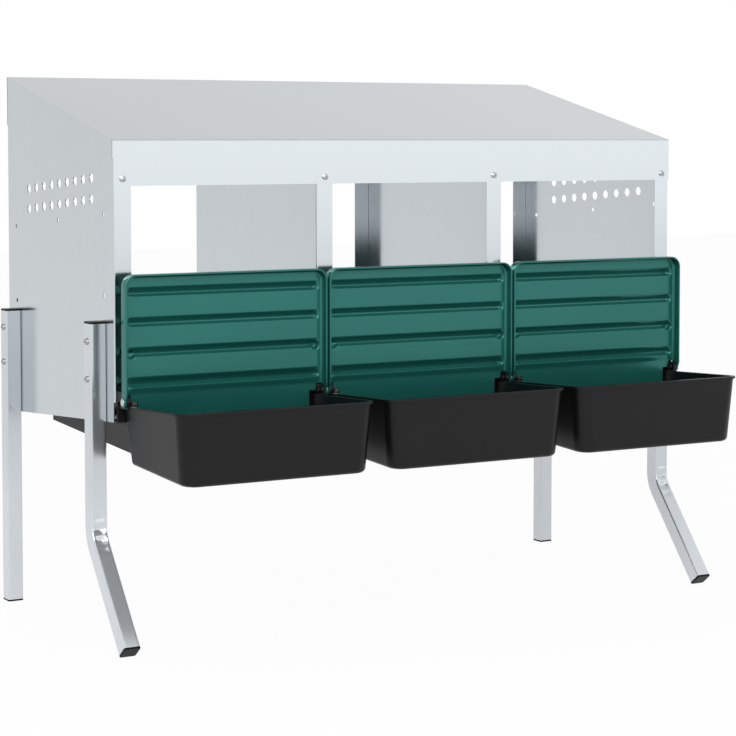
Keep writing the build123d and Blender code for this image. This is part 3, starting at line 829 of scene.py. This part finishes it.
class NestFinishSettings(bpy.types.PropertyGroup):
    """Colours and sheen of the nesting box."""

    sheet_colour: tint("Sheet", "Zinc on the sheet metal", (0.64, 0.683, 0.71))
    # Inner shade is painted shade in the sheet's base colour
    inner_shade: portion("Inner shade", "Brightness of the rear flanges' inner faces", 0.76)
    sheet_metal: portion("Sheet metal share", "How far the sheet mirrors light", 1.0)
    sheet_roughness: portion("Sheet roughness", "Blur of the sheet's reflections", 0.16, min=0.05)
    tube_colour: tint("Tube", "Plating on the legs", (0.695, 0.73, 0.765))
    tube_metal: portion("Tube metal share", "How far the tube mirrors light", 0.9)
    tube_roughness: portion("Tube roughness", "Blur of the tube's reflections", 0.19, min=0.05)
    film_metal: portion("Film metal share", "Metal share of the dull film on the lower legs", 0.62)
    film_gain: amount("Film brightness", "Brightness of the film against the tube", 1.06)
    fastener_colour: tint("Fasteners", "Plating on screws, bolts and nuts", (0.53, 0.54, 0.55))
    pin_colour: tint("Pins", "Steel of the hinge pins", (0.72, 0.73, 0.74))
    tray_colour: tint("Trays", "Black of the trays, caps and plugs", (0.0052, 0.0054, 0.0051))
    tray_roughness: portion("Tray roughness", "Blur of the trays' reflections", 0.34, min=0.05)
    lid_colour: tint("Lids", "Green of the lids", (0.0185, 0.168, 0.143))
    # Groove shade and back shade are painted shade in the lids' base colour
    groove_shade: portion("Groove shade", "How far the lids darken where they look down", 0.5)
    back_shade: portion("Back shade", "How far the lids darken on their back", 0.45)
    lid_depth: portion("Lid depth", "Share of the lids' gloss that takes their colour", 0.45)
    lid_roughness: portion("Lid roughness", "Blur of the lids' reflections", 0.2, min=0.05)


class NestDetailSettings(bpy.types.PropertyGroup):
    """Sizes of the details that are made here."""

    tray_edge: metres("Tray edge", "Rounding of the trays' edges", 0.0009)
    edge_steps: number("Edge steps", "Facets across a rounded edge", 3)
    lid_wall: metres("Lid wall", "Thickness of the lids", 0.0025)
    lid_skirt: metres("Lid skirt", "Depth of the lids' skirt", 0.0146)
    lid_corner: metres("Lid corner", "Upper corners of the lids", 0.015)
    lid_root: metres("Skirt root", "Round between a lid's plate and skirt", 0.003)
    lid_foot_rise: metres("Foot rise", "Where the skirt's lobes start above the hinge", 0.009)
    foot_inset: metres("Foot inset", "Room for the tray's ears beside a lid's foot", 0.0115)
    tail_inset: metres("Tail inset", "Room beside a lid's tail in the trough's mouth", 0.0214)
    hinge_lobe: metres("Hinge lobe", "Lobe of the skirt round a pin", 0.014)
    pin_bore: metres("Pin bore", "Hole for a hinge pin", 0.0061)
    rib_count: number("Ribs", "Ribs across a lid", 4)
    rib_first: metres("First rib", "Uppermost rib below the lid's top", 0.0245)
    rib_pitch: metres("Rib pitch", "From rib to rib", 0.038)
    rib_upper: metres("Groove top", "Upper edge of a groove above its rib line", 0.0095)
    rib_deep: metres("Groove bottom", "Deepest line of a groove above its rib line", 0.0)
    rib_crest: metres("Ridge crest", "Crest of the ridge below the rib line", 0.0042)
    rib_end: metres("Ridge end", "Where the ridge runs out below the rib line", 0.0125)
    rib_depth: metres("Rib depth", "Depth of a rib's groove", 0.0055)
    ridge_height: metres("Ridge", "Rise of the ridge below a groove", 0.0012)
    rib_margin: metres("Rib margin", "From a rib's end to the skirt", 0.004)
    rib_taper: metres("Rib taper", "Length over which a rib runs out", 0.007)
    pocket: metres("Pocket", "Diameter of the middle rib's end pockets", 0.012)
    tube_corner: metres("Tube corner", "Outside corner of the tube", 0.0025)
    knee_height: metres("Knee height", "Where the front legs' centre lines meet", 0.1355)
    splay: rotation("Splay", "Angle of the front legs' lower part from upright", math.radians(39.0))
    bend_radius: metres("Bend radius", "Centre line of the front legs' bend", 0.045)
    dent: metres("Bend dent", "Depth of the crushed inside of the bend", 0.0034)
    dent_reach: metres("Dent reach", "Half the length of the dent", 0.027)
    dent_drop: metres("Dent drop", "Middle of the dent below the bend's middle", 0.001)
    dent_wrinkles: amount("Wrinkles", "Wrinkles on each half of the dent", 3.4)
    weld_count: number("Spot welds", "Welds along each runner", 6, min=2)
    weld_radius: metres("Weld radius", "Size of a spot weld", 0.0028)


class NestStudioSettings(bpy.types.PropertyGroup):
    """Camera and light."""

    camera_place: position("Camera", "Where the camera stands", (-1.5276, -2.6147, 0.6399))
    camera_yaw: rotation("Yaw", "Turn of the camera about the upright axis", math.radians(-30.107))
    camera_pitch: rotation("Pitch", "How far the camera looks down", math.radians(3.112))
    camera_shift: plain("Shift", "Upright shift of the picture, in picture heights", -0.15)
    lens: amount("Lens", "Focal length in millimetres on a 36 mm sensor", 106.79)
    ambient: amount("Ambient", "Brightness of the studio around", 0.62)
    key_power: watts("Key light", "Power of the front light", 55.0)
    fill_power: watts("Fill light", "Power of the left light", 14.0)


def details():
    return bpy.context.scene.nest_detail


# Operators, one for each piece or group of like pieces


class NESTBOX_OT_sheet(bpy.types.Operator):
    """Finish the panels, dividers, runners, roof and tie rail in bright zinc"""

    bl_idname = "nestbox.sheet"
    bl_label = "Sheet metal"

    def execute(self, context):
        paint_nodes(bright_zinc, *SHEET_NODES)
        return {"FINISHED"}


class NESTBOX_OT_welds(bpy.types.Operator):
    """Spot welds that hold the runners to the dividers"""

    bl_idname = "nestbox.welds"
    bl_label = "Spot welds"

    def execute(self, context):
        tree = weld_tree()
        material = finish(bright_zinc)
        count = details().weld_count
        for side, sign in (("left", 1.0), ("right", -1.0)):
            low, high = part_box(f"{side}_divider_runner")
            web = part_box(f"{side}_divider")
            fall = (high.z - low.z - RUNNER_WEB) / (high.y - low.y)
            step = (high.y - low.y - 2 * WELD_MARGIN) / (count - 1)
            face = (web[0].x if sign > 0 else web[1].x) + sign * SHEET
            height = high.z - RUNNER_WEB + WELD_RISE - fall * WELD_MARGIN
            start = point_holder("weld_start", [(face, low.y + WELD_MARGIN, height)])
            mesh = tree.run(start, Count=count, Step=(0.0, step, -fall * step), Material=material,
                            Radius=details().weld_radius, Axis=(sign, 0.0, 0.0))
            smooth(mesh, angle=50.0)
            new_piece(f"{side}_runner_welds", mesh, material, "frame")
        return {"FINISHED"}


class NESTBOX_OT_legs(bpy.types.Operator):
    """Plated legs, the front pair bent with a crushed inside"""

    bl_idname = "nestbox.legs"
    bl_label = "Legs"

    def execute(self, context):
        paint_nodes(drawn_tube, "rear_left_leg", "rear_right_leg")
        material = finish(drawn_tube)
        tree = bent_leg_tree()
        size = details()
        half = size.splay / 2
        inside = (0.0, -math.cos(half), math.sin(half))
        along = (0.0, -math.sin(half), -math.cos(half))
        depth = size.bend_radius / math.cos(half) - size.bend_radius
        for side in SIDES:
            node = f"front_{side}_leg"
            low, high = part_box(node)
            x = (low.x + high.x) / 2
            tube = high.x - low.x
            top = Vector((x, high.y - tube / 2, high.z))
            knee = Vector((x, top.y, size.knee_height))
            end_z = low.z + tube / 2 * math.sin(size.splay)
            end = Vector((x, knee.y - (knee.z - end_z) * math.tan(size.splay), end_z))
            bend = knee + Vector(inside) * depth + Vector(along) * size.dent_drop
            mesh = tree.run(line_holder(node + "_line", (top, knee, end)), **{
                "Tube": tube, "Corner": size.tube_corner, "Bend radius": size.bend_radius,
                "Knee": tuple(bend), "Inside": inside, "Along": along, "Dent": size.dent,
                "Dent reach": size.dent_reach, "Wrinkles": size.dent_wrinkles,
                "Material": material})
            smooth(mesh, angle=35.0)
            piece = new_piece(node + "_tube", mesh, material, "frame")
            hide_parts(node)
        return {"FINISHED"}


class NESTBOX_OT_plugs(bpy.types.Operator):
    """Black caps and foot plugs in the tube ends"""

    bl_idname = "nestbox.plugs"
    bl_label = "Caps and plugs"

    def execute(self, context):
        paint_nodes(dull_black, *PLUG_NODES)
        return {"FINISHED"}


class NESTBOX_OT_fasteners(bpy.types.Operator):
    """Cross-recess sheet screws, socket bolts and their nuts"""

    bl_idname = "nestbox.fasteners"
    bl_label = "Fasteners"

    def execute(self, context):
        paint_nodes(small_plating, "leg_nuts")
        material = finish(small_plating)
        screws = head_tree("cross_screw", CROSS_SIDES)
        for node, axis in SCREW_ROWS.items():
            seats = self.seats(node, axis, SCREW["Head height"])
            mesh = screws.run(point_holder(node + "_seats", seats), Axis=axis, Material=material,
                              **SCREW)
            self.replace(node, mesh, material)
        bolts = head_tree("socket_bolt", SOCKET_SIDES)
        seats = self.seats("leg_bolts", (1.0, 0.0, 0.0), BOLT["Head height"])
        joined = bmesh.new()
        for sign in (-1.0, 1.0):
            chosen = [seat for seat in seats if seat.x * sign > 0]
            part = bolts.run(point_holder("bolt_seats", chosen), Axis=(sign, 0.0, 0.0),
                             Material=material, **BOLT)
            joined.from_mesh(part)
            bpy.data.meshes.remove(part)
        self.replace("leg_bolts", mesh_from(joined, "leg_bolts_heads"), material)
        return {"FINISHED"}

    def replace(self, node, mesh, material):
        """Puts the heads in the place of a node's plain solids."""
        smooth(mesh, angle=40.0)
        piece = new_piece(node + "_heads", mesh, material, "frame")
        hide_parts(node)

    def seats(self, node, axis, head):
        """Points under the heads of a node's separate solids."""
        work = merged_node(node)
        way = Vector(axis)
        places = []
        seen = set()
        for first in work.verts:
            if first in seen:
                continue
            seen.add(first)
            group = [first]
            for vert in group:
                near = [edge.other_vert(vert) for edge in vert.link_edges]
                group += [other for other in near if other not in seen]
                seen.update(near)
            low = Vector(min(v.co[i] for v in group) for i in range(3))
            high = Vector(max(v.co[i] for v in group) for i in range(3))
            middle = (low + high) / 2
            outward = way * (1.0 if way.dot(middle) >= 0 else -1.0)
            tip = max(v.co.dot(outward) for v in group)
            places.append(middle + outward * (tip - head - middle.dot(outward)))
        work.free()
        return places


class NESTBOX_OT_trays(bpy.types.Operator):
    """Black egg trays with rounded edges"""

    bl_idname = "nestbox.trays"
    bl_label = "Egg trays"

    def execute(self, context):
        for place in PLACES:
            node = f"{place}_egg_tray"
            mesh = soft_copy(node, details().tray_edge, details().edge_steps)
            piece = new_piece(node + "_moulding", mesh, finish(satin_black), f"{place}_tray")
            # Painted shade: faces behind the front plane take the duller black, which reads darker
            # like shade
            mesh.materials.append(finish(dull_black))
            for face in mesh.polygons:
                face.material_index = 1 if face.center.y > FRONT_PLANE else 0
            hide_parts(node)
        return {"FINISHED"}


class NESTBOX_OT_lids(bpy.types.Operator):
    """Green ribbed lids with rounded edges"""

    bl_idname = "nestbox.lids"
    bl_label = "Egg lids"

    def execute(self, context):
        hinges = {joint["child"]: Vector(joint["pos_m"]) for joint in frame["joints"]
                  if joint["type"] == "hinge"}
        for place in PLACES:
            node, body = f"{place}_egg_lid", f"{place}_lid"
            mesh = LidShape(node, hinges[body], details()).build(node + "_moulding")
            piece = new_piece(node + "_moulding", mesh, finish(gloss_green), body)
            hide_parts(node)
        return {"FINISHED"}


class NESTBOX_OT_hinges(bpy.types.Operator):
    """Hinge pins and their push-on caps"""

    bl_idname = "nestbox.hinges"
    bl_label = "Lid hinges"

    def execute(self, context):
        paint_nodes(bright_pin, *(f"{place}_lid_pins" for place in PLACES))
        paint_nodes(satin_black, *(f"{place}_lid_pin_caps" for place in PLACES))
        return {"FINISHED"}


class NESTBOX_OT_stage(bpy.types.Operator):
    """Pale floor, soft studio light and the camera"""

    bl_idname = "nestbox.stage"
    bl_label = "Studio"

    def execute(self, context):
        scene = context.scene
        studio = scene.nest_studio
        self.make_world(scene, studio)
        self.make_floor(scene)
        for name, place, size, power, mirrored in LAMPS:
            self.make_lamp(scene, name, place, size, getattr(studio, power), mirrored)
        camera = bpy.data.cameras.new("camera")
        camera.lens = studio.lens
        camera.sensor_width = SENSOR
        camera.shift_y = studio.camera_shift
        camera.clip_end = SIGHT
        holder = bpy.data.objects.new("camera", camera)
        scene.collection.objects.link(holder)
        holder.location = studio.camera_place
        holder.rotation_euler = (math.pi / 2 - studio.camera_pitch, 0.0, studio.camera_yaw)
        scene.camera = holder
        scene.view_settings.view_transform = "Standard"
        return {"FINISHED"}

    def make_world(self, scene, studio):
        """White for the camera, a sloping sky for metal, and an even light for the rest."""
        scene.world = bpy.data.worlds.new("studio")
        shade = Shade(scene.world)
        x, y, z = shade.parts(shade.node("ShaderNodeTexCoord", out="Generated"))
        tone = SKY_LEVEL - SKY_FRONT * y + SKY_RIGHT * x - SKY_TOP * z
        direct, glossy, through = shade.rays()
        show = glossy.highest(through)
        level = show * tone + (1.0 - show) * studio.ambient
        level = direct + (1.0 - direct) * level
        sky = shade.node("ShaderNodeBackground", None, {"Color": rgba(WHITE), "Strength": level})
        shade.node("ShaderNodeOutputWorld", None, {"Surface": sky})

    def make_floor(self, scene):
        """Floor that keeps the shadow, and glows where the camera, metal or glass sees it."""
        mesh = bpy.data.meshes.new("floor")
        corners = [(x * FLOOR_REACH, y * FLOOR_REACH, 0.0)
                   for x, y in ((-1, -1), (1, -1), (1, 1), (-1, 1))]
        mesh.from_pydata(corners, [], [(0, 1, 2, 3)])
        floor = bpy.data.objects.new("floor", mesh)
        scene.collection.objects.link(floor)
        material = bpy.data.materials.new("pale_floor")
        shade = Shade(material)
        direct, glossy, through = shade.rays()
        seen = direct.highest(glossy).highest(through)
        cloud = shade.varied(shade.noise(scale=1.5), WHITE, dark=0.86, light=0.88)
        matt = shade.node("ShaderNodeBsdfDiffuse", None, {"Color": cloud})
        tone = shade.varied(direct, WHITE, dark=MIRRORED_FLOOR, light=1.0)
        white = shade.node("ShaderNodeEmission", None, {"Color": tone, "Strength": 1.0})
        surface = shade.node("ShaderNodeMixShader", None,
                             {0: seen * FLOOR_GLOW, 1: matt, 2: white})
        shade.node("ShaderNodeOutputMaterial", None, {"Surface": surface})
        mesh.materials.append(material)
        floor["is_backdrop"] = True

    def make_lamp(self, scene, name, place, size, power, mirrored):
        """Square soft light that looks at the middle of the box."""
        lamp = bpy.data.lights.new(name, "AREA")
        lamp.shape = "SQUARE"
        lamp.size = size
        lamp.energy = power
        holder = bpy.data.objects.new(name, lamp)
        holder.visible_glossy = mirrored
        scene.collection.objects.link(holder)
        holder.location = place
        aim = (CAD_LOW + CAD_HIGH) / 2 - Vector(place)
        holder.rotation_euler = aim.to_track_quat("-Z", "Y").to_euler()


class NESTBOX_PT_dressing(bpy.types.Panel):
    """Lists the settings and the pieces."""

    bl_idname = "NESTBOX_PT_dressing"
    bl_label = "Nesting box"
    bl_space_type = "VIEW_3D"
    bl_region_type = "UI"
    bl_category = "Nesting box"

    def draw(self, context):
        layout = self.layout
        for group in (getattr(context.scene, name) for name in GROUPS):
            box = layout.box()
            for name in group.__annotations__:
                box.prop(group, name)
        for operator in OPERATORS:
            layout.operator(operator.bl_idname)


GROUPS = {"nest_finish": NestFinishSettings, "nest_detail": NestDetailSettings,
          "nest_studio": NestStudioSettings}
OPERATORS = (NESTBOX_OT_sheet, NESTBOX_OT_welds, NESTBOX_OT_legs, NESTBOX_OT_plugs,
             NESTBOX_OT_fasteners, NESTBOX_OT_trays, NESTBOX_OT_lids, NESTBOX_OT_hinges,
             NESTBOX_OT_stage)
CLASSES = (*GROUPS.values(), *OPERATORS, NESTBOX_PT_dressing)


def register():
    for one in CLASSES:
        bpy.utils.register_class(one)
    for name, group in GROUPS.items():
        setattr(bpy.types.Scene, name, PointerProperty(type=group))


def unregister():
    for name in GROUPS:
        delattr(bpy.types.Scene, name)
    for one in reversed(CLASSES):
        bpy.utils.unregister_class(one)


def main():
    register()
    for operator in OPERATORS:
        family, name = operator.bl_idname.split(".")
        getattr(getattr(bpy.ops, family), name)()


if __name__ == "__main__":
    main()
